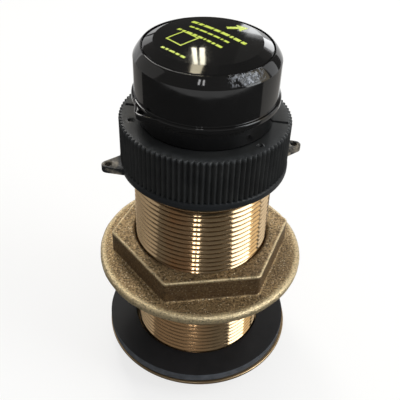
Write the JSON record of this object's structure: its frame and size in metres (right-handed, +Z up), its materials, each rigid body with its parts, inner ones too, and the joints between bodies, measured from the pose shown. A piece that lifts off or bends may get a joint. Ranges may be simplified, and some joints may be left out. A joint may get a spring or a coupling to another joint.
{
  "type": "sonar transducer",
  "caption": "Through-hull sonar transducer: threaded bronze housing with flange, rubber washer and hull nut, and a removable plastic insert held by a knurled cap nut.",
  "frame": {"origin": "on the axis of the stem, at the outer surface of the hull, where the top of the rubber washer lies", "axes": "+Z up the stem into the boat, -Y ahead, towards the paddlewheel, +Y astern, towards the cable gland, +X to starboard"},
  "size_m": [0.0802, 0.0802, 0.1397],
  "materials": {
    "turned_bronze": "turned and threaded bronze, bright",
    "cast_bronze": "sand-cast bronze, rough, with brighter rounded edges",
    "washer_rubber": "matt black rubber sheet",
    "seal_rubber": "smooth moulded nitrile rubber",
    "matt_black_plastic": "matt moulded black plastic",
    "gloss_black_plastic": "glossy moulded black plastic",
    "wheel_plastic": "satin moulded white plastic",
    "window_urethane": "smooth cast urethane",
    "piezo_ceramic": "fired ceramic with silvered faces",
    "backing_cork": "pressed cork",
    "stainless_steel": "turned stainless steel",
    "magnet_nickel": "nickel plating",
    "board_green": "green solder mask",
    "chip_black": "matt moulded epoxy",
    "ferrite": "sintered ferrite",
    "capacitor_foil": "bare aluminium can",
    "wire_red": "wire insulation"
  },
  "bodies": {
    "housing": {"housing": "turned_bronze", "hull_washer": "washer_rubber"},
    "hull_nut": {"hull_nut": "cast_bronze"},
    "insert": {"insert_body": "matt_black_plastic", "insert_cap": "gloss_black_plastic", "cap_lid": "gloss_black_plastic", "upper_o_ring": "seal_rubber", "lower_o_ring": "seal_rubber", "acoustic_window": "window_urethane", "piezo_disc": "piezo_ceramic", "piezo_backing": "backing_cork", "piezo_lead_port": "wire_red", "piezo_lead_starboard": "wire_red", "temperature_probe": "stainless_steel", "circuit_board": "board_green", "microcontroller": "chip_black", "cable_header": "chip_black", "matching_transformer": "ferrite", "filter_capacitor": "capacitor_foil", "speed_sensor": "chip_black", "cable_gland": "matt_black_plastic", "gland_cap": "matt_black_plastic", "wheel_shaft": "stainless_steel"},
    "cap_nut": {"cap_nut": "matt_black_plastic"},
    "paddlewheel": {"paddlewheel": "wheel_plastic", "wheel_magnet_1": "magnet_nickel", "wheel_magnet_2": "magnet_nickel", "wheel_magnet_3": "magnet_nickel", "wheel_magnet_4": "magnet_nickel"}
  },
  "joints": [
    {"name": "hull_nut_travel", "type": "slide", "parent": "housing", "child": "hull_nut", "axis": [0, 0, 1], "range_m": [-0.0333, 0.0314]},
    {"name": "insert_lift", "type": "slide", "parent": "housing", "child": "insert", "axis": [0, 0, 1], "range_m": [0, 0.01058]},
    {"name": "cap_nut_turn", "type": "hinge", "parent": "insert", "child": "cap_nut", "pos_m": [0, 0, 0.0876], "axis": [0, 0, 1], "range_deg": [0, 1800]},
    {"name": "paddlewheel_spin", "type": "hinge", "parent": "insert", "child": "paddlewheel", "pos_m": [0, -0.008, -0.0065], "axis": [1, 0, 0], "continuous": true}
  ],
  "couplings": [
    {"joint": "cap_nut_turn", "follows": "insert_lift", "rad_per_m": 2968.4}
  ]
}
